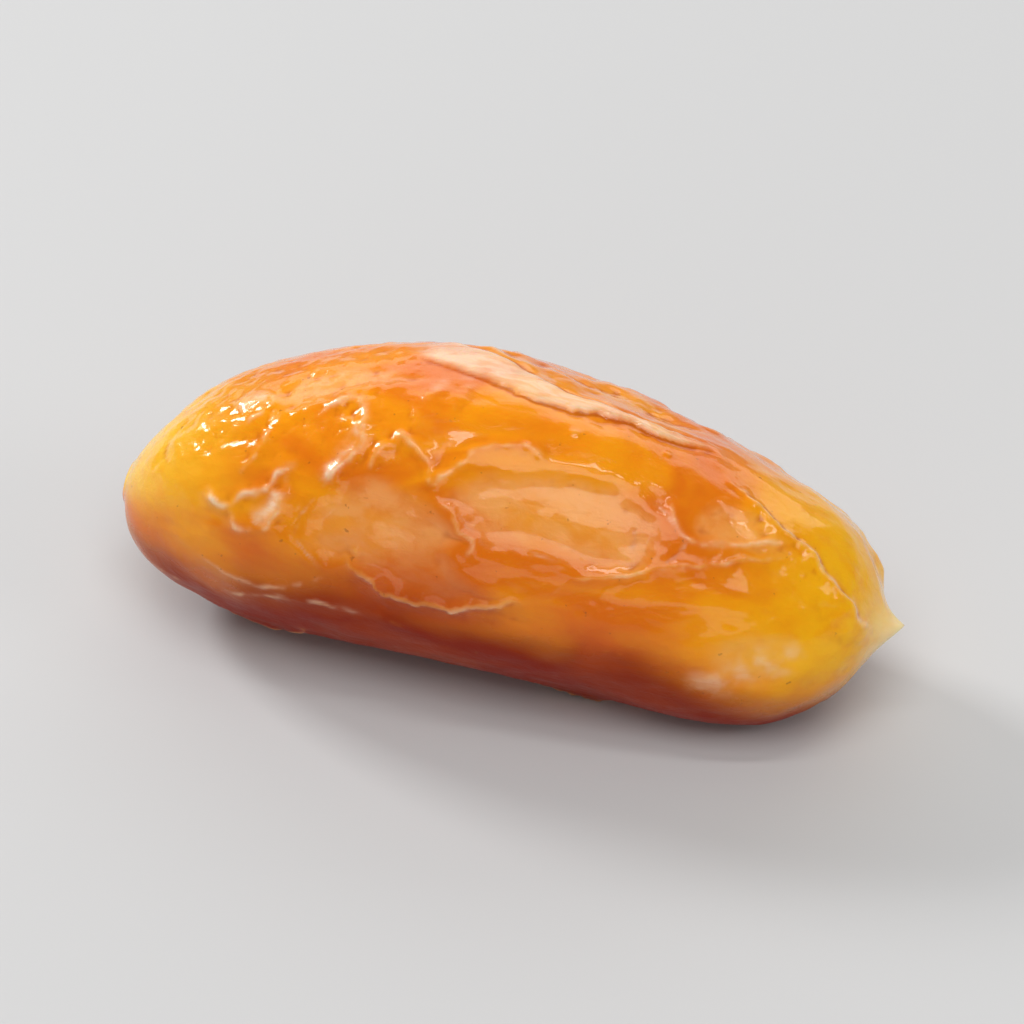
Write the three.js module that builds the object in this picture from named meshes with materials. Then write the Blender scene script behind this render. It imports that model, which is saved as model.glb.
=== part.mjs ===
// A dried date: one fleshy fruit in its own wrinkled skin, lying on its side.
// Millimetres, +Z up. The fruit lies along X with its pointed end at +X, and rests on the plane z = 0
// on a small flat spot that its own weight has pressed into it.
import * as THREE from "three";

// Driving dimensions.
const LENGTH = 43.2; // along the fruit, from the round end to the tip of the thorn
const GIRTH_RADIUS = 8.85; // where the fruit is thickest
const WIDTH_SCALE = 1.02; // the fruit is a little wider than it is high
const HEIGHT_SCALE = 0.98;
const ARCH = 3.4; // how far the back rises above a straight fruit
const SWAY = 1.5; // how far the middle bows to +Y
const FLAT_DEPTH = 0.5; // how much of the belly the flat spot takes off

// How finely the skin is divided.
const RINGS = 80;
const STAVES = 48;

// The centre line, as shares: [distance from the round end, height of the arch, bow to the side].
// It bends most just before the middle, and runs almost straight to the pointed end.
const CENTRE_LINE = [
  [0, 0, 0],
  [0.2, 0.66, 0.66],
  [0.4, 1, 1],
  [0.6, 0.88, 0.84],
  [0.8, 0.42, 0.42],
  [1, 0, 0],
];

// The half outline, as shares: [distance from the round end, radius]. It starts in the shallow scar
// that the stalk has left, and ends in a small blunt thorn.
const OUTLINE = [
  [0.013, 0],
  [0.011, 0.05],
  [0.003, 0.09],
  [0.001, 0.13],
  [0.006, 0.2],
  [0.02, 0.31],
  [0.05, 0.46],
  [0.1, 0.63],
  [0.17, 0.785],
  [0.27, 0.905],
  [0.38, 0.975],
  [0.49, 1],
  [0.61, 0.965],
  [0.72, 0.88],
  [0.82, 0.775],
  [0.9, 0.63],
  [0.948, 0.42],
  [0.969, 0.24],
  [0.983, 0.09],
  [0.99, 0.045],
  [1, 0],
];

// Broad swells (rise > 0) and hollows (rise < 0) of the skin, in mm. A place on the skin is given by its
// distance from the round end and by its angle: 0 faces -Y, 90 is the top, 180 faces +Y, -90 is the belly.
const FORMS = [
  { at: 30, angle: 125, length: 9, width: 5, rise: -0.7 }, // long hollow behind the upper fold
  { at: 37, angle: -40, length: 6, width: 7, rise: 0.8 }, // full cheek under the pointed end
  { at: 24, angle: 40, length: 6, width: 4, rise: -0.35 }, // wide pane of the near flank
  { at: 15, angle: 15, length: 5, width: 4, rise: -0.3 }, // lower pane of the near flank
  { at: 18, angle: 165, length: 8, width: 4, rise: -0.4 }, // long hollow of the far flank
  { at: 27, angle: -155, length: 8, width: 4, rise: -0.35 }, // and a lower one beside it
];

const RADIANS = Math.PI / 180;

// The shortest way round from one angle to another, between -PI and PI.
function turn(from, to) {
  return Math.atan2(Math.sin(to - from), Math.cos(to - from));
}

// How far the forms lift the skin at one place, given in mm along and radians round.
function lift(at, angle) {
  let sum = 0;
  for (const form of FORMS) {
    const along = (at - form.at) / form.length;
    const round = (turn(form.angle * RADIANS, angle) * GIRTH_RADIUS) / form.width;
    sum += form.rise * Math.exp(-along * along - round * round);
  }
  return sum;
}

const centreLine = new THREE.CatmullRomCurve3(
  CENTRE_LINE.map(([x, arch, bow]) => new THREE.Vector3((x - 0.5) * LENGTH, bow * SWAY, arch * ARCH)),
);

function fruitGeometry() {
  const outline = new THREE.SplineCurve(OUTLINE.map(([x, r]) => new THREE.Vector2(r * GIRTH_RADIUS, x * LENGTH)));
  const geometry = new THREE.LatheGeometry(outline.getSpacedPoints(RINGS), STAVES);
  geometry.rotateZ(-Math.PI / 2); // from the lathe's upright axis to X
  geometry.deleteAttribute("normal");
  geometry.deleteAttribute("uv");
  const place = geometry.getAttribute("position");
  const up = new THREE.Vector3(0, 0, 1);
  for (let i = 0; i < place.count; i++) {
    const at = place.getX(i);
    const angle = Math.atan2(place.getZ(i), -place.getY(i));
    const straight = Math.hypot(place.getY(i), place.getZ(i));
    // The forms fade out towards the axis, so that the two ends stay closed.
    const radius = straight + lift(at, angle) * (straight / GIRTH_RADIUS);
    const share = THREE.MathUtils.clamp(at / LENGTH, 0, 1);
    const along = centreLine.getTangentAt(share);
    const side = new THREE.Vector3().crossVectors(along, up).normalize();
    const over = new THREE.Vector3().crossVectors(side, along);
    const point = centreLine.getPointAt(share);
    point.addScaledVector(side, radius * Math.cos(angle) * WIDTH_SCALE);
    point.addScaledVector(over, radius * Math.sin(angle) * HEIGHT_SCALE);
    place.setXYZ(i, point.x, point.y, point.z);
  }
  return geometry;
}

// Presses the belly flat, FLAT_DEPTH above its lowest point.
function restOnFlatSpot(geometry) {
  geometry.computeBoundingBox();
  const floor = geometry.boundingBox.min.z + FLAT_DEPTH;
  const place = geometry.getAttribute("position");
  for (let i = 0; i < place.count; i++) {
    place.setZ(i, Math.max(place.getZ(i), floor));
  }
  geometry.computeBoundingBox();
}

const geometry = fruitGeometry();
restOnFlatSpot(geometry);

const skin = new THREE.MeshStandardMaterial({ color: 0xc8640c, roughness: 0.3, metalness: 0 });
const fruit = new THREE.Mesh(geometry, skin);
fruit.name = "date_fruit";
const middle = geometry.boundingBox.getCenter(new THREE.Vector3());
fruit.position.set(-middle.x, -middle.y, -geometry.boundingBox.min.z);

const date = new THREE.Group();
date.add(fruit);
export default date;
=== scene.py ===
import math
import random

import bpy
import numpy as np
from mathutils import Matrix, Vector, noise
from mathutils.bvhtree import BVHTree


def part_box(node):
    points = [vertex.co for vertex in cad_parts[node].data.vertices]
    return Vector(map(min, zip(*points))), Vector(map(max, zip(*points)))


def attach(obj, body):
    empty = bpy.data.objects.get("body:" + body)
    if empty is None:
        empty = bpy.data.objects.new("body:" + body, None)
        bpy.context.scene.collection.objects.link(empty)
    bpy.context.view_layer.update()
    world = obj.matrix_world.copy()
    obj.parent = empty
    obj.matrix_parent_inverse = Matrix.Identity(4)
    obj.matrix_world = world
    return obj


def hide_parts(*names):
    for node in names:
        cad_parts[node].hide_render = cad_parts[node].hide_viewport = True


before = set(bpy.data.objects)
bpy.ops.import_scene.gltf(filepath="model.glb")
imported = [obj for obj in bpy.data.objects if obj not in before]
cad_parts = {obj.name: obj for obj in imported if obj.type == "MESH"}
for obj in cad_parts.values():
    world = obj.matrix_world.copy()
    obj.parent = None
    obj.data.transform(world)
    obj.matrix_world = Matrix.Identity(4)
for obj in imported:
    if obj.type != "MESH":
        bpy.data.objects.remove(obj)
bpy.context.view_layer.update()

NODE = "date_fruit"
MM = 0.001
LOW, HIGH = (np.array(corner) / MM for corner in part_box(NODE))  # mm, as all lengths up to the mesh are
LENGTH = HIGH[0] - LOW[0]

# How finely the skin is divided. The two ends are square grids, so that no faces meet in a pole.
CAP_CELLS = 80
AROUND = 4 * CAP_CELLS
RINGS = 260
CAP_LENGTH = 4.0  # mm at each end that belongs to a cap
SMOOTHING_ROUNDS = 60
FINE_SIDE = math.radians(50)  # the faces are smallest round here, where the thinnest folds are
CROWDING = 0.36  # how much smaller, as a share


# ---- the CAD solid as a smooth base -----------------------------------------------------------------

def cad_points():
    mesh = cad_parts[NODE].data
    points = np.empty(len(mesh.vertices) * 3)
    mesh.vertices.foreach_get("co", points)
    return points.reshape(-1, 3) / MM


def cad_tree():
    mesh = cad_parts[NODE].data
    return BVHTree.FromPolygons(cad_points().tolist(), [tuple(p.vertices) for p in mesh.polygons])


def fit_centre_line():
    """Two polynomials, y and z of the middle of the solid's slices, against mm from the round end."""
    points = cad_points()
    at = np.linspace(3, LENGTH - 3, 14)
    middles = []
    for x in at:
        ring = points[np.abs(points[:, 0] - LOW[0] - x) < 0.7]
        middles.append((ring.min(0) + ring.max(0)) / 2)
    middles = np.array(middles)
    return np.polyfit(at, middles[:, 1], 4), np.polyfit(at, middles[:, 2], 4)


Y_OF, Z_OF = fit_centre_line()


def centre(at):
    """The point on the centre line at some mm from the round end."""
    at = np.asarray(at, float)
    return np.stack([at + LOW[0], np.polyval(Y_OF, at), np.polyval(Z_OF, at)], -1)


def axes(at):
    """The directions along, to the side (-Y) and over the fruit, there."""
    at = np.asarray(at, float)
    rise_y = np.polyval(np.polyder(Y_OF), at)
    rise_z = np.polyval(np.polyder(Z_OF), at)
    along = np.stack([np.ones_like(at), rise_y, rise_z], -1)
    along /= np.linalg.norm(along, axis=-1, keepdims=True)
    side = np.cross(along, [0, 0, 1])
    side /= np.linalg.norm(side, axis=-1, keepdims=True)
    return along, side, np.cross(side, along)


def cast(tree, starts, directions):
    """Where rays from inside the solid leave it."""
    hits = []
    for start, direction in zip(starts.tolist(), directions.tolist()):
        hit = tree.ray_cast(start, direction)[0]
        hits.append(hit if hit is not None else start)
    return np.array(hits)


def on_skin(tree, at, degrees):
    """Points on the solid, by mm from the round end and degrees round it: 0 is -Y, 90 is the top."""
    _, side, over = axes(at)
    angle = np.radians(degrees)[..., None]
    return cast(tree, centre(at), side * np.cos(angle) + over * np.sin(angle))


def square_to_round(a, b):
    """Reach (0 to 1) and angle of a place in the square -1..1, whose rings are squares."""
    reach = np.maximum(np.abs(a), np.abs(b))
    wide = np.abs(a) >= np.abs(b)
    with np.errstate(divide="ignore", invalid="ignore"):
        across = np.where(wide, b / a, a / b)
    across = np.nan_to_num(across) * math.pi / 4
    sideways = np.where(a >= 0, 0, math.pi) + across
    upright = np.where(b >= 0, 0.5, -0.5) * math.pi - across
    angle = np.where(wide, sideways, upright)
    return reach, angle


def crowded(angle):
    """Moves even angles together near the fine side, and apart behind it."""
    return angle - CROWDING * np.sin(angle - FINE_SIDE)


def base_grid(tree):
    """Vertices and quads of the whole skin, on the solid."""
    angle = np.arange(AROUND) * 2 * math.pi / AROUND
    at = np.linspace(CAP_LENGTH, LENGTH - CAP_LENGTH, RINGS + 1)
    at_all, angle_all = np.meshgrid(at, angle, indexing="ij")
    points = [on_skin(tree, at_all.ravel(), np.degrees(crowded(angle_all.ravel())))]
    ring = np.arange(RINGS)[:, None] * AROUND
    step = np.arange(AROUND)[None, :]
    after = (step + 1) % AROUND
    corners = [ring + step, ring + AROUND + step, ring + AROUND + after, ring + after]
    quads = [np.stack(corners, -1).reshape(-1, 4)]
    count = (RINGS + 1) * AROUND
    spread = np.linspace(-1, 1, CAP_CELLS + 1)
    a, b = (g.ravel() for g in np.meshgrid(spread, spread, indexing="ij"))
    reach, turn = square_to_round(a, b)
    inner = reach < 1 - 1e-9
    for end, first_of_ring in ((0, 0), (1, RINGS * AROUND)):
        number = np.empty(len(a), int)
        number[~inner] = first_of_ring + np.round(turn[~inner] / (2 * math.pi) * AROUND).astype(int) % AROUND
        number[inner] = count + np.arange(inner.sum())
        count += inner.sum()
        at_cap = at[-1] if end else at[0]
        along, side, over = axes(at_cap)
        swing = (reach[inner] * math.pi / 2)[:, None]
        angle = crowded(turn[inner])[:, None]
        outward = side * np.cos(angle) + over * np.sin(angle)
        direction = (along if end else -along) * np.cos(swing) + outward * np.sin(swing)
        points.append(cast(tree, np.repeat(centre(at_cap)[None], len(direction), 0), direction))
        grid = number.reshape(CAP_CELLS + 1, CAP_CELLS + 1)
        cells = np.stack([grid[:-1, :-1], grid[1:, :-1], grid[1:, 1:], grid[:-1, 1:]], -1).reshape(-1, 4)
        quads.append(cells[:, ::-1] if end else cells)
    return np.concatenate(points), np.concatenate(quads)


def neighbours(quads):
    edges = np.concatenate([quads[:, [0, 1]], quads[:, [1, 2]], quads[:, [2, 3]], quads[:, [3, 0]]])
    return np.unique(np.sort(edges, 1), axis=0)


def blur(values, edges, rounds):
    """Averages each value with its neighbours', some rounds over."""
    values = np.array(values, float).reshape(len(values), -1)
    ends = np.concatenate([edges[:, 0], edges[:, 1]])
    others = np.concatenate([edges[:, 1], edges[:, 0]])
    share = np.bincount(ends, minlength=len(values))[:, None]
    for _ in range(rounds):
        around = np.stack([np.bincount(ends, column[others], len(values)) for column in values.T], 1)
        values = (values + around / share) / 2
    return values


def vertex_normals(points, quads):
    corners = points[quads]
    face = np.cross(corners[:, 2] - corners[:, 0], corners[:, 3] - corners[:, 1])
    sums = [np.bincount(quads.ravel(), np.repeat(face[:, k], 4), len(points)) for k in range(3)]
    normals = np.stack(sums, 1)
    return normals / np.linalg.norm(normals, axis=1, keepdims=True)


def skin_places(points):
    """mm from the round end, and degrees round, of each point."""
    at = points[:, 0] - LOW[0]
    for _ in range(4):
        along = axes(at)[0]
        at = at + np.einsum("ij,ij->i", points - centre(at), along) * along[:, 0]
    _, side, over = axes(at)
    out = points - centre(at)
    degrees = np.degrees(np.arctan2(np.einsum("ij,ij->i", out, over), np.einsum("ij,ij->i", out, side)))
    return at, degrees


tree = cad_tree()
points, quads = base_grid(tree)
edges = neighbours(quads)
points = blur(points, edges, SMOOTHING_ROUNDS)
normals = vertex_normals(points, quads)
at, degrees = skin_places(points)


# ---- features: folds, panes and wrinkles --------------------------------------------------------------

# Thin ridges of drawn-up skin on the side that faces -Y and up. Each has its route, in mm from the round
# end and degrees round, its height and half width in mm, and how far the skin steps down across it.
RIDGES = [
    # hooks and streaks near the round end
    dict(route=[(6.3, 40), (7, 31), (8, 30), (8.9, 35), (9.9, 38), (10.7, 44), (11.8, 49)],
         height=0.4, width=0.17, pale=0.75),
    dict(route=[(7.9, 31), (8.1, 22), (8.9, 20), (10, 22), (10.8, 29), (11.1, 36), (11.2, 46)],
         height=0.36, width=0.15, pale=0.55),
    dict(route=[(8.4, 44), (9.3, 52), (9.6, 57), (9.9, 65)], height=0.26, width=0.13),
    dict(route=[(7.6, 74), (8.1, 67), (9, 71), (9.7, 79), (9, 87), (8.1, 84), (7.6, 76)],
         height=0.2, width=0.15),
    # the long hook and the branching ridge in the middle of the flank
    dict(route=[(12.4, 70), (13.2, 75), (14.2, 76), (14.9, 70), (14.9, 62), (14.5, 53), (13.6, 45), (13, 38)],
         height=0.4, width=0.18, pale=0.7),
    dict(route=[(15.5, 44), (16, 55), (16.8, 60), (17.7, 58), (18.6, 53), (18.9, 47), (19.1, 41)],
         height=0.4, width=0.14),
    dict(route=[(19, 41), (19.4, 48), (20.1, 54), (20.9, 60), (22, 65), (23.2, 67), (24.6, 64)],
         height=0.36, width=0.14),
    dict(route=[(18.8, 43), (19.8, 38), (20.8, 33), (21.6, 27), (21.2, 18)], height=0.24, width=0.13),
    # under the lower pane, and along the cheek below the middle one
    dict(route=[(14.2, 14), (14.8, 10), (15.9, 5), (17, 1), (18.8, -1), (21, 0), (23.2, 5), (25.6, 10)],
         height=0.32, width=0.14, step=0.2),
    dict(route=[(26.2, 16), (28.7, 27), (30.3, 33), (32.1, 40), (33.9, 47), (35.8, 55), (37.6, 64)],
         height=0.28, width=0.12, step=0.1),
    dict(route=[(30.6, 66), (31.4, 57), (32, 52), (33.6, 55), (35.1, 61), (37, 70)], height=0.28, width=0.14),
    dict(route=[(28.4, 57), (29.2, 53), (29.6, 46), (29.3, 38)], height=-0.16, width=0.12),
    # sharp crease that runs out to the thorn, and its twin behind it
    dict(route=[(32.4, 94), (34, 85), (35.2, 80), (36.8, 75), (38.6, 67), (40.2, 57), (41.6, 42), (42.4, 20)],
         height=0.34, width=0.13, step=-0.24, pale=0.7),
    dict(route=[(39.6, 128), (41, 120), (41.9, 108), (42.5, 90)], height=0.2, width=0.12),
    # low on the near side
    dict(route=[(5.5, 4), (7, -1), (8.5, -5), (10.4, -5), (12.2, 0), (13.6, 7)], height=0.12, width=0.13),
    dict(route=[(6.2, -19), (8.6, -12), (11.1, -9), (13.1, -9), (16, -12)], height=0.12, width=0.15),
    dict(route=[(16, -13), (20, -9), (24, -6), (28, -3), (32, 0)], height=0.12, width=0.3, pale=0),
    dict(route=[(1.2, -24), (2, -30), (3.2, -26), (4.8, -23)], height=0.1, width=0.13),
    # dry papery patches between the folds, painted pale as papery skin with a painted highlight, and a
    # painted highlight on the cheek by the thorn
    dict(route=[(9.2, 22), (9.9, 27), (10.6, 33), (11, 40)], height=0.1, width=0.42, pale=0.8),
    dict(route=[(14.7, 66), (14.3, 56), (13.5, 47), (13, 41)], height=0.06, width=0.3, pale=0.6),
    dict(route=[(7.8, 76), (8.6, 82), (9.4, 84)], height=0.08, width=0.45, pale=0.6),
    dict(route=[(17.4, 82), (18.6, 88), (20, 90)], height=0.05, width=0.45, pale=0.4),
    dict(route=[(34, -14), (36, -4), (38, 6), (39.6, 12)], height=0.05, width=0.8, pale=0.4),
    # thin creases round the panes
    dict(route=[(29.4, 64), (31, 58), (31.9, 49), (31.6, 40), (30.4, 32)], height=-0.16, width=0.1),
    dict(route=[(13.2, 8), (11.8, 18), (12, 28), (13.2, 37)], height=-0.12, width=0.1),
    dict(route=[(19.6, 38), (21.4, 34), (22.4, 27), (24.4, 28), (27.6, 26)], height=-0.1, width=0.1),
    # lumps on the back's shoulder
    dict(route=[(17.1, 69), (18.3, 72), (19.6, 75)], height=0.14, width=0.5, pale=0),
    dict(route=[(17.4, 78), (18.5, 82), (19.7, 80)], height=0.14, width=0.4, pale=0),
]

# The long papery fold over the back: the band that stands up, its two sharp edges, the cross crease in it,
# and the channel that it leaves behind.
FOLD_BAND = [(15.8, 116), (17.4, 110), (19.2, 104), (21, 99), (23, 95), (25.4, 95), (28, 98), (30.6, 104),
             (33.4, 110)]
FOLDS = [
    dict(route=[(16.5, 107), (18, 100), (20.8, 91), (23, 88), (25.4, 88), (28, 92), (31, 99), (34, 104)],
         height=-0.2, width=0.2),
    dict(route=[(16.8, 119), (19.2, 119), (21, 112), (23, 103), (25.4, 102), (28, 105), (31, 111),
                (33.6, 118)], height=0.2, width=0.16),
    dict(route=[(20, 124), (21, 111), (22, 100)], height=-0.22, width=0.2),
    dict(route=[(20.8, 124), (22.7, 120), (25, 120), (28, 120), (31, 124)], height=-0.4, width=0.8),
]

# Sunken flat panes: closed outline, depth and how wide the slope at the rim is, in mm. The material paints a
# peach sheen inside them, a painted reflection.
PANES = [
    dict(outline=[(19.3, 40), (20.6, 51), (23, 59), (26.4, 65), (29.2, 64), (31, 57), (31.4, 45), (30.5, 30),
                  (27.8, 25), (24.6, 27), (22.6, 25), (21.2, 31)], depth=0.2, slope=1.3),
    dict(outline=[(13.4, 8), (12, 18), (12.2, 28), (13.4, 38), (15.4, 46), (18, 45), (19.6, 37), (21.4, 29),
                  (20.8, 20), (22.4, 13), (25.6, 11), (23, 4), (20.6, 0), (17.4, 1), (15.4, 6)],
         depth=0.16, slope=1.2),
    dict(outline=[(9.5, 84), (11, 96), (13.7, 98), (16.8, 93), (17.4, 86), (14.2, 80), (12, 75), (10.3, 73)],
         depth=0.12, slope=0.9),
    dict(outline=[(32.4, 54), (32.6, 76), (34.6, 78), (37.4, 68), (37, 58)], depth=0.12, slope=0.8),
    # painted highlight low on the cheek by the thorn, a pale reflection
    dict(outline=[(34.4, 8), (36.4, 22), (38.6, 24), (40, 8), (38.4, -10), (35.6, -6)],
         depth=0.08, slope=1.2),
]

# Small warts that catch the light: place, radius and height in mm.
WARTS = [((25.1, 78), 0.24, 0.14), ((29.6, 87), 0.2, 0.12), ((6.9, 64), 0.2, 0.1), ((15.1, 16), 0.25, 0.14)]

ROUTE_STEP = 0.12  # mm between the points that a route is followed by
POINTS_BETWEEN = 24  # points of the smooth curve from one place of a route to the next
RIDGE_ROUNDING = 0.006  # square mm, rounds the very crest of a ridge
RIDGE_SKIRT = 3.4  # a ridge's gentle foot, as a share of its half width
PANE_REACH = 6.0  # mm in from a pane's outline, past its middle


def smooth_step(low, high, value):
    t = np.clip((value - low) / (high - low), 0, 1)
    return t * t * (3 - 2 * t)


def route_on_skin(route, closed=False):
    """A smooth curve through the route's places: its points on the solid, in even steps, and their places."""
    places = np.array(route, float)
    ahead = np.concatenate([places[-1:], places, places[:2]]) if closed else np.concatenate(
        [2 * places[:1] - places[1:2], places, 2 * places[-1:] - places[-2:-1]])
    share = np.linspace(0, 1, POINTS_BETWEEN, endpoint=False)[:, None]
    curve = []
    for p0, p1, p2, p3 in zip(ahead, ahead[1:], ahead[2:], ahead[3:]):
        curve.append(0.5 * (2 * p1 + (p2 - p0) * share + (2 * p0 - 5 * p1 + 4 * p2 - p3) * share ** 2
                            + (3 * p1 - p0 - 3 * p2 + p3) * share ** 3))
    curve = np.concatenate(curve)
    line = on_skin(tree, curve[:, 0], curve[:, 1])
    walked = np.concatenate([[0], np.cumsum(np.linalg.norm(np.diff(line, axis=0), axis=1))])
    even = np.linspace(0, walked[-1], max(4, int(walked[-1] / ROUTE_STEP)))
    return (np.stack([np.interp(even, walked, line[:, k]) for k in range(3)], 1),
            np.stack([np.interp(even, walked, curve[:, k]) for k in range(2)], 1))


def nearest(line, reach):
    """Vertices within reach of a line: their numbers, distance, signed distance and share of the way."""
    near = np.nonzero(((wandering > line.min(0) - reach) & (wandering < line.max(0) + reach)).all(1))[0]
    gap = wandering[near][:, None, :] - line[None, :, :]
    distance = np.linalg.norm(gap, axis=2)
    which = distance.argmin(1)
    distance = distance.min(1)
    forward = np.gradient(line, axis=0)[which]
    left = np.cross(normals[near], forward)
    side = np.sign(np.einsum("ij,ij->i", gap[np.arange(len(near)), which], left))
    keep = distance < reach
    return near[keep], distance[keep], (side * distance)[keep], (which / (len(line) - 1))[keep]


def add_ridge(relief, route, height, width, step=0.0, pale=0.4):
    """A pinched ridge, like a fold of skin. Step lets the skin on its right stand lower, and pale says how
    pale its crest is painted, as paper-like skin with a painted highlight along it."""
    line, _ = route_on_skin(route)
    reach = 7 * width + (1.2 if step else 0)
    near, distance, signed, share = nearest(line, reach)
    taper = smooth_step(0, 0.16, share) * smooth_step(0, 0.16, 1 - share) * (0.8 + 0.5 * uneven[near])
    skirt = RIDGE_SKIRT * width
    sharp = np.exp(-np.sqrt(distance ** 2 + RIDGE_ROUNDING) / width)
    ridge = 0.6 * sharp + 0.4 * np.exp(-(distance / skirt) ** 2)
    relief[near] += height * taper * ridge
    if step:
        sink = smooth_step(0, width, -signed) * (1 - smooth_step(0.4 * reach, reach, distance))
        relief[near] -= step * taper * sink
    patchy = smooth_step(-0.5, 0.4, uneven[near] + pale - 0.3)
    return near, pale * patchy * taper * np.exp(-(distance / width) ** 2)


def add_band(relief, route, height, width):
    """A flat-topped band of skin that stands up with crisp edges, and narrows to a lip."""
    line, _ = route_on_skin(route)
    near, distance, _, share = nearest(line, 2 * width)
    taper = smooth_step(0, 0.12, share) * smooth_step(0, 0.3, 1 - share)
    narrowing = 1.2 - 0.85 * smooth_step(0.2, 0.65, share)
    flat = 1 - smooth_step(0.75, 1.1, distance / (width * narrowing))
    relief[near] += height * taper * flat
    return near, taper * flat


def inside(outline, where_at, where_degrees):
    """Even-odd test of places against a closed outline of places."""
    odd = np.zeros(len(where_at), bool)
    for (x0, y0), (x1, y1) in zip(outline, np.roll(outline, -1, axis=0)):
        crosses = (y0 > where_degrees) != (y1 > where_degrees)
        if y0 != y1:
            odd ^= crosses & (where_at < (x1 - x0) * (where_degrees - y0) / (y1 - y0) + x0)
    return odd


def add_pane(relief, outline, depth, slope, flatten=0.3):
    """Sinks the skin inside the outline, and flattens it towards the plane of that outline."""
    line, places = route_on_skin(outline, closed=True)
    near, distance, _, _ = nearest(line, PANE_REACH)
    within = inside(places, at[near], degrees[near])
    inner, edge = near[within], smooth_step(0, slope, distance[within])
    middle = line.mean(0)
    facing = normals[inner].mean(0)
    flat_normal = np.linalg.svd(line - middle)[2][2]
    flat_normal *= np.sign(flat_normal @ facing)
    above = np.maximum((points[inner] - middle) @ flat_normal, 0)
    relief[inner] -= (flatten * above + depth) * edge
    return inner, edge


def random_ridges(count, seed):
    """Long wandering ridges for the far side and the belly, with a short hook on some."""
    draw = random.Random(seed)
    made = []
    for _ in range(count):
        x = draw.uniform(3, LENGTH - 9)
        degree = draw.uniform(132, 300)
        reach = draw.uniform(4, 13)
        route = []
        slant = draw.uniform(-2.2, 2.2)
        while reach > 0 and x < LENGTH - 2.5:
            route.append((x, degree))
            stride = draw.uniform(1.0, 1.9)
            x += stride
            reach -= stride
            degree += slant * stride + draw.uniform(-5, 5)
        if draw.random() < 0.45:
            hook = draw.choice((-1, 1))
            route += [(x - 0.2, degree + 9 * hook), (x - 1.0, degree + 17 * hook)]
        if len(route) > 2:
            made.append(dict(route=route, height=draw.uniform(0.12, 0.28), width=draw.uniform(0.18, 0.34),
                             step=draw.choice((0, 0, 0.1, -0.1)), pale=0.22))
    return made


def skin_noise(size, seed, stretch=1.0, ridged=False):
    """Noise at each vertex, about -1 to 1; size is in mm, stretch draws it out along the fruit."""
    shift = Vector((seed * 17.3, seed * 5.1, -seed * 9.7))
    scale = 1 / size
    values = np.empty(len(points))
    for i, (x, y, z) in enumerate((points * [scale / stretch, scale, scale]).tolist()):
        place = Vector((x, y, z)) + shift
        if ridged:
            values[i] = noise.ridged_multi_fractal(place, 1.0, 2.1, 2, 1.0, 2.0) - 1
        else:
            values[i] = noise.fractal(place, 1.0, 2.0, 3)
    return values


relief = np.zeros(len(points))
loose_skin_and_glint = np.zeros(len(points))  # where the skin has come off the flesh and turned papery, painted pale; this paint is also a painted highlight along crests and the fold
pane_sheen_at = np.zeros(len(points))
turned = degrees % 360
far_side = smooth_step(118, 140, turned) * (1 - smooth_step(300, 325, turned))

broad = skin_noise(5.0, 1, stretch=1.8)
crinkle = skin_noise(1.5, 2, stretch=1.7, ridged=True)
uneven = skin_noise(1.3, 3)
middling = skin_noise(2.2, 4, stretch=1.5)
# Places pushed about a little, so that no fold runs as smooth as its route.
wandering = points + 0.3 * np.stack([skin_noise(1.6, 11), skin_noise(1.6, 12), skin_noise(1.6, 13)], 1)
relief += 0.16 * broad + 0.07 * middling
relief += (0.025 + 0.06 * far_side) * crinkle
# Small dimples on the shoulder behind the round end.
shoulder = smooth_step(1, 4, at) * (1 - smooth_step(14, 19, at)) * smooth_step(40, 60, turned) * (
    1 - smooth_step(115, 150, turned))
relief += 0.08 * shoulder * skin_noise(0.9, 21)

for pane in PANES:
    where, amount = add_pane(relief, **pane)
    pane_sheen_at[where] = np.maximum(pane_sheen_at[where], amount)
# The fold band is painted pale: papery skin with a painted highlight along it.
where, amount = add_band(relief, FOLD_BAND, height=0.26, width=1.15)
loose_skin_and_glint[where] = np.maximum(loose_skin_and_glint[where], 0.62 * amount)
for ridge in RIDGES:
    where, amount = add_ridge(relief, **ridge)
    loose_skin_and_glint[where] = np.maximum(loose_skin_and_glint[where], amount)
for ridge in FOLDS:
    where, amount = add_ridge(relief, **ridge)
    if ridge["height"] > 0:
        loose_skin_and_glint[where] = np.maximum(loose_skin_and_glint[where], amount)
for ridge in random_ridges(46, seed=7):
    where, amount = add_ridge(relief, **ridge)
    loose_skin_and_glint[where] = np.maximum(loose_skin_and_glint[where], amount)
for place, radius, height in WARTS:
    middle = on_skin(tree, np.array([place[0]]), np.array([place[1]]))
    relief += height * np.exp(-(np.linalg.norm(points - middle, axis=1) / radius) ** 2)

relief = blur(relief, edges, 1)[:, 0]
# The ends stay calm round the stalk's scar and the thorn.
calm = smooth_step(0.5, 3, at) * smooth_step(0.3, 2, LENGTH - at)
relief *= 0.2 + 0.8 * calm
# Crests are above 0 and the feet of the folds below; the material paints shade at the feet and a highlight on
# the crests from this.
crest = np.clip((relief - blur(relief, edges, 10)[:, 0]) / 0.05, -1, 1)
# The flat spot stays flat.
relief *= smooth_step(0.0, 0.5, points[:, 2] - LOW[2])
shaped = points + normals * relief[:, None]

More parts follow.
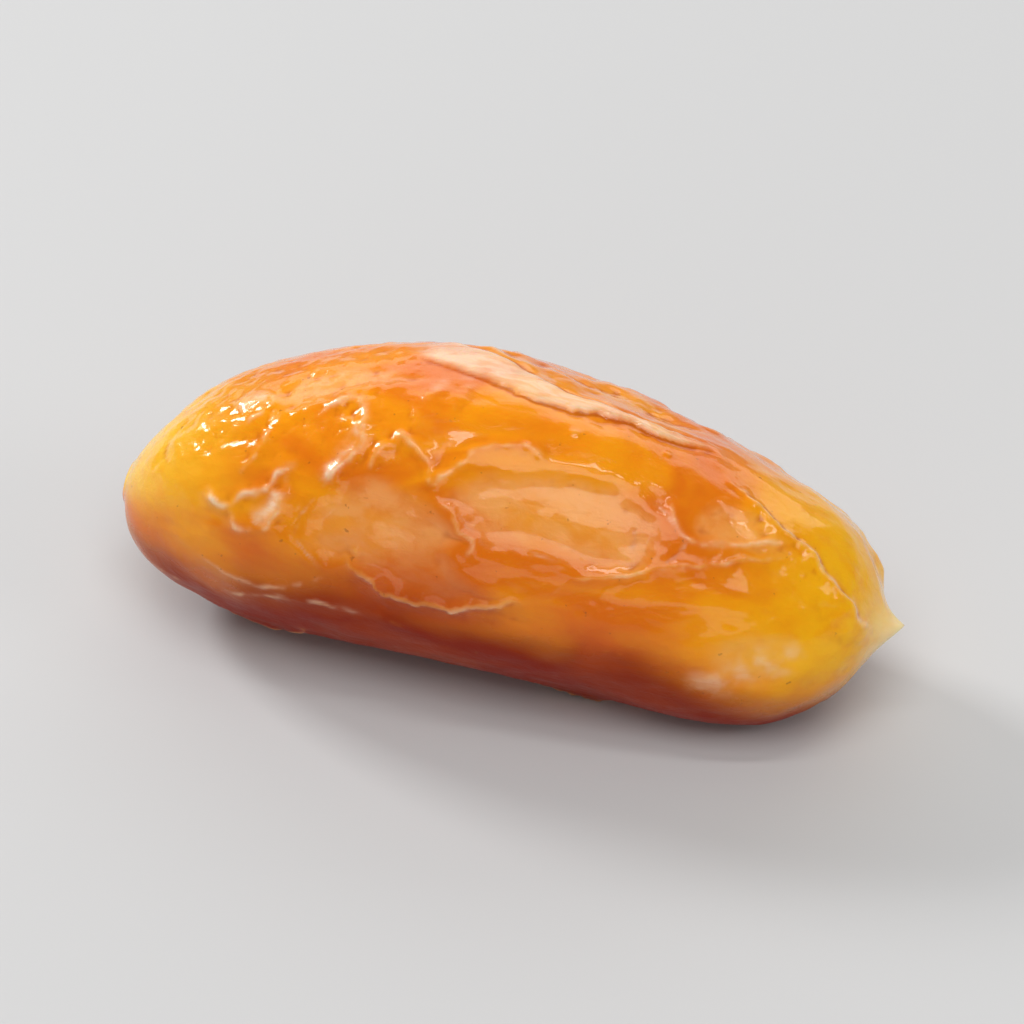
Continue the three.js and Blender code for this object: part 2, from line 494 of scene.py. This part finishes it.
# The thorn: skin near the tip is drawn in to the axis and out along it.
THORN_RADIUS = 0.75
THORN_PAST_BOX = 0.5  # how far past the CAD solid the thorn would reach if it weren't blunted
tip = centre(LENGTH)
from_axis = np.linalg.norm((points - tip)[:, 1:], axis=1)
near_tip = at > LENGTH - 3
pull = np.where(near_tip, np.exp(-(from_axis / 1.8) ** 2), 0)[:, None]
shaped[:, 1:] -= 0.4 * pull * (shaped - tip)[:, 1:]
thorn = np.where(near_tip, np.exp(-(np.linalg.norm((shaped - tip)[:, 1:], axis=1) / THORN_RADIUS) ** 1.15), 0)
shaped[:, 0] += (HIGH[0] + THORN_PAST_BOX - shaped[near_tip, 0].max()) * thorn

# The scar that the stalk left: a small pit with a raised rim.
SCAR_RADIUS = 0.85
from_scar = np.where(at < 3, np.linalg.norm((points - centre(0))[:, 1:], axis=1), 9) / SCAR_RADIUS
scar = np.exp(-from_scar ** 4)
rim = np.exp(-((from_scar - 1.35) / 0.3) ** 2)
shaped[:, 0] += 0.45 * scar * (1 + 0.3 * uneven) - 0.12 * rim

# The relief may stand a little proud of the solid, but never below the floor.
MARGIN = 0.2
shaped[:, 1:] = np.clip(shaped[:, 1:], LOW[1:] - MARGIN, HIGH[1:] + MARGIN)
shaped[:, 2] = np.maximum(shaped[:, 2], LOW[2])


# ---- the mesh -----------------------------------------------------------------------------------------

def face_mesh(name, vertices, faces, attributes):
    mesh = bpy.data.meshes.new(name)
    mesh.vertices.add(len(vertices))
    mesh.vertices.foreach_set("co", (vertices * MM).astype(np.float32).ravel())
    mesh.loops.add(faces.size)
    mesh.loops.foreach_set("vertex_index", faces.astype(np.int32).ravel())
    mesh.polygons.add(len(faces))
    mesh.polygons.foreach_set("loop_start", np.arange(0, faces.size, 4, dtype=np.int32))
    mesh.polygons.foreach_set("use_smooth", np.ones(len(faces), bool))
    mesh.update(calc_edges=True)
    mesh.validate()
    for key, values in attributes.items():
        layer = mesh.attributes.new(key, "FLOAT", "POINT")
        layer.data.foreach_set("value", np.asarray(values, np.float32))
    piece = bpy.data.objects.new(name, mesh)
    bpy.context.scene.collection.objects.link(piece)
    return piece


height_share = np.sin(np.radians(degrees))
to_round_end = (1 - smooth_step(0, 11, at + 1.6 * broad)) * (0.1 + 0.9 * smooth_step(0.0, 0.85, height_share))
to_thorn = smooth_step(31, 41, at + 1.6 * broad)
tip_end = 1 - smooth_step(0.2, 2.0, LENGTH - at + 0.4 * middling)
low_side = 0.45 * to_thorn + 0.12 - 0.25 * broad
# The underside is painted darker, partly its own browner tone and partly painted shade; this fades out
# towards the two ends.
underside = 0.18 - height_share - low_side
off_ends = (0.4 + 0.6 * smooth_step(0, 4, at)) * smooth_step(0.3, 4.5, LENGTH - at)
belly = smooth_step(-0.12, 0.4, underside) * off_ends
low_flank_tone_and_shade = smooth_step(-0.45, 0.1, underside) * off_ends
skin = face_mesh("date_skin", shaped, quads, {
    "loose_skin_and_glint": loose_skin_and_glint,
    "round_end": to_round_end,
    "thorn_end": to_thorn,
    "belly": belly,
    "low_flank_tone_and_shade": low_flank_tone_and_shade,
    "pane": pane_sheen_at,
    "crest": crest,
    "tip_end": tip_end,
    "scar": scar,
})


# ---- material -----------------------------------------------------------------------------------------

class Nodes:
    """Short ways to make the nodes of one material."""

    def __init__(self, name):
        self.material = bpy.data.materials.new(name)
        self.material.use_nodes = True
        self.tree = self.material.node_tree
        self.shader = self.tree.nodes["Principled BSDF"]
        self.place = self.tree.nodes.new("ShaderNodeTexCoord").outputs["Object"]

    def link(self, source, target):
        self.tree.links.new(source, target)

    def put(self, value, target):
        if isinstance(value, bpy.types.NodeSocket):
            self.link(value, target)
        else:
            target.default_value = value

    def attribute(self, name):
        node = self.tree.nodes.new("ShaderNodeAttribute")
        node.attribute_name = name
        return node.outputs["Fac"]

    def math(self, operation, a, b=0.0, clamp=False):
        node = self.tree.nodes.new("ShaderNodeMath")
        node.operation = operation
        node.use_clamp = clamp
        self.put(a, node.inputs[0])
        self.put(b, node.inputs[1])
        return node.outputs[0]

    def mix(self, share, a, b, blend="MIX"):
        node = self.tree.nodes.new("ShaderNodeMix")
        node.data_type = "RGBA"
        node.blend_type = blend
        self.put(share, node.inputs["Factor"])
        self.put(a, node.inputs[6])
        self.put(b, node.inputs[7])
        return node.outputs[2]

    def noise(self, size_mm, detail=4, stretch=(1, 1, 1), distortion=0.0):
        scale = self.tree.nodes.new("ShaderNodeMapping")
        self.link(self.place, scale.inputs["Vector"])
        scale.inputs["Scale"].default_value = [s / (size_mm * MM) for s in stretch]
        node = self.tree.nodes.new("ShaderNodeTexNoise")
        node.inputs["Scale"].default_value = 1
        node.inputs["Detail"].default_value = detail
        node.inputs["Distortion"].default_value = distortion
        self.link(scale.outputs[0], node.inputs["Vector"])
        return node.outputs["Fac"]

    def spread(self, value, low, high, to_low=0.0, to_high=1.0):
        node = self.tree.nodes.new("ShaderNodeMapRange")
        node.interpolation_type = "SMOOTHSTEP"
        self.put(value, node.inputs["Value"])
        for key, number in (("From Min", low), ("From Max", high), ("To Min", to_low), ("To Max", to_high)):
            node.inputs[key].default_value = number
        return node.outputs["Result"]


def date_skin_material():
    n = Nodes("date_skin_amber")
    crest_at = n.attribute("crest")
    loose_skin_and_glint_at = n.attribute("loose_skin_and_glint")
    cloud = n.noise(4.5, 3, (0.6, 1, 1), 0.6)
    blotch = n.noise(1.3, 4, (0.7, 1, 1), 0.4)
    grain = n.noise(0.28, 3)

    colour = n.mix(n.spread(cloud, 0.35, 0.65), (0.8, 0.17, 0.0, 1), (0.95, 0.32, 0.0, 1))
    # Painted sheen: the panes are painted peach, in place of the soft reflection of the lights on their flat
    # skin.
    painted_pane_sheen = n.math("MULTIPLY", n.attribute("pane"), n.spread(blotch, 0.3, 0.65, 0.25, 0.7))
    colour = n.mix(painted_pane_sheen, colour, (1.0, 0.43, 0.13, 1))
    round_end = n.math("MULTIPLY", n.attribute("round_end"), n.spread(blotch, 0.2, 0.6, 0.6, 1.0))
    colour = n.mix(round_end, colour, (1.0, 0.58, 0.03, 1))
    thorn_end = n.math("MULTIPLY", n.attribute("thorn_end"), n.spread(blotch, 0.2, 0.6, 0.6, 1.0))
    colour = n.mix(thorn_end, colour, (1.0, 0.48, 0.0, 1))
    pale = n.attribute("tip_end")
    colour = n.mix(pale, colour, (1.0, 0.86, 0.5, 1))
    # Painted shade together with the fruit's deeper tone: the lower flank is painted a darker red.
    low = n.math("MULTIPLY", n.attribute("low_flank_tone_and_shade"), n.spread(cloud, 0.3, 0.7, 0.75, 0.4))
    colour = n.mix(low, colour, (0.66, 0.1, 0.0, 1))
    # Painted shade together with the fruit's browner tone: the underside is painted dark brown.
    belly_tone_and_shade_at = n.math("MULTIPLY", n.attribute("belly"), n.spread(cloud, 0.25, 0.6, 0.75, 1.0))
    belly_tone_and_shade_at = n.math("MULTIPLY", belly_tone_and_shade_at, n.math("SUBTRACT", 1.0, n.math("MULTIPLY", pale, 0.8)))
    colour = n.mix(belly_tone_and_shade_at, colour, (0.28, 0.012, 0.0, 1))
    # Painted shade in the feet of the folds and creases, and a painted highlight on the crests.
    colour = n.mix(n.spread(crest_at, -0.1, -1.0, 0.0, 0.6), colour, (0.5, 0.06, 0.0, 1))
    colour = n.mix(n.spread(crest_at, 0.2, 1.0, 0.0, 0.25), colour, (1.0, 0.5, 0.1, 1))
    # Papery skin painted pale, which is also a painted highlight along crests, hooks and the fold band.
    streak = n.noise(0.7, 4, (0.3, 1, 1), 0.8)
    papery_and_glint = n.math("MULTIPLY", loose_skin_and_glint_at, n.spread(streak, 0.35, 0.6, 0.6, 1.1))
    colour = n.mix(papery_and_glint, colour, (1.0, 0.74, 0.52, 1))
    speck = n.spread(n.noise(0.5, 2), 0.70, 0.78, 0.0, 0.5)
    colour = n.mix(speck, colour, (0.3, 0.07, 0.01, 1))
    colour = n.mix(n.attribute("scar"), colour, (0.1, 0.03, 0.008, 1))
    n.link(colour, n.shader.inputs["Base Color"])

    rough = n.math("ADD", n.spread(blotch, 0.3, 0.7, 0.1, 0.24), n.math("MULTIPLY", loose_skin_and_glint_at, 0.12))
    rough = n.math("ADD", rough, n.math("MULTIPLY", belly_tone_and_shade_at, 0.25))
    n.link(rough, n.shader.inputs["Roughness"])

    bump = n.tree.nodes.new("ShaderNodeBump")
    bump.inputs["Strength"].default_value = 0.4
    bump.inputs["Distance"].default_value = 0.05 * MM
    wrinkle = n.noise(0.8, 3, (0.45, 1, 1), 1.2)
    n.link(n.math("ADD", n.math("MULTIPLY", wrinkle, 2.0), grain), bump.inputs["Height"])
    n.link(bump.outputs["Normal"], n.shader.inputs["Normal"])

    s = n.shader.inputs
    s["Subsurface Weight"].default_value = 0.2
    s["Subsurface Radius"].default_value = (1.0, 0.32, 0.06)
    s["Subsurface Scale"].default_value = 0.9 * MM
    s["Specular IOR Level"].default_value = 0.5
    s["Specular Tint"].default_value = (1.0, 0.72, 0.45, 1)
    s["IOR"].default_value = 1.32
    n.link(n.spread(belly_tone_and_shade_at, 0.0, 1.0, 0.45, 0.0), s["Coat Weight"])
    s["Coat Roughness"].default_value = 0.04
    return n.material


skin.data.materials.append(date_skin_material())
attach(skin, "root")
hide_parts(NODE)


# ---- floor, light and camera --------------------------------------------------------------------------

def plain_material(name, colour, roughness):
    n = Nodes(name)
    n.shader.inputs["Base Color"].default_value = colour
    n.shader.inputs["Roughness"].default_value = roughness
    return n.material


def make_floor():
    half = 2.0  # m
    mesh = bpy.data.meshes.new("floor")
    corners = [(-half, -half, 0), (half, -half, 0), (half, half, 0), (-half, half, 0)]
    mesh.from_pydata(corners, [], [(0, 1, 2, 3)])
    mesh.materials.append(plain_material("floor_paper", (0.62, 0.62, 0.62, 1), 0.8))
    floor = bpy.data.objects.new("floor", mesh)
    bpy.context.scene.collection.objects.link(floor)


def direction(azimuth, elevation):
    """From the fruit towards a place; azimuth 0 is -Y, 90 is +X."""
    a, e = math.radians(azimuth), math.radians(elevation)
    return Vector((math.sin(a) * math.cos(e), -math.cos(a) * math.cos(e), math.sin(e)))


def soft_light(name, azimuth, elevation, distance, size, brightness):
    """A square softbox that faces the fruit. Brightness is its radiance."""
    data = bpy.data.lights.new(name, "AREA")
    data.shape = "RECTANGLE"
    data.size, data.size_y = size
    data.energy = brightness * math.pi * size[0] * size[1]
    light = bpy.data.objects.new(name, data)
    towards = direction(azimuth, elevation)
    light.location = TARGET + towards * distance
    light.rotation_euler = towards.to_track_quat("Z", "Y").to_euler()
    bpy.context.scene.collection.objects.link(light)


def make_world(brightness):
    world = bpy.data.worlds.new("studio")
    world.use_nodes = True
    background = world.node_tree.nodes["Background"]
    background.inputs["Color"].default_value = (1, 1, 1, 1)
    background.inputs["Strength"].default_value = brightness
    bpy.context.scene.world = world


CAMERA_AZIMUTH = 15
CAMERA_ELEVATION = 40
CAMERA_DISTANCE = 0.45
VIEW_WIDTH = LENGTH * MM * 1.28
TARGET = (Vector(LOW * MM) + Vector(HIGH * MM)) / 2


def make_camera():
    data = bpy.data.cameras.new("camera")
    data.sensor_width = 36
    data.lens = data.sensor_width * CAMERA_DISTANCE / VIEW_WIDTH
    data.clip_start = 0.01
    camera = bpy.data.objects.new("camera", data)
    towards = direction(CAMERA_AZIMUTH, CAMERA_ELEVATION)
    camera.location = TARGET + towards * CAMERA_DISTANCE
    camera.rotation_euler = towards.to_track_quat("Z", "Y").to_euler()
    bpy.context.scene.collection.objects.link(camera)
    bpy.context.scene.camera = camera


make_floor()
soft_light("key_softbox", -114, 30, 0.5, (0.11, 0.11), 24)
soft_light("front_softbox", 10, 62, 0.5, (0.36, 0.26), 2.2)
soft_light("low_softbox", 5, 14, 0.6, (0.5, 0.14), 1.0)
soft_light("back_softbox", 190, 32, 0.6, (0.8, 0.3), 1.1)
soft_light("top_softbox", 15, 84, 0.5, (0.3, 0.035), 8)
soft_light("right_softbox", 85, 30, 0.5, (0.2, 0.15), 2.2)
make_world(0.2)
make_camera()
bpy.context.scene.view_settings.view_transform = "Standard"
bpy.context.scene.view_settings.exposure = 0.42
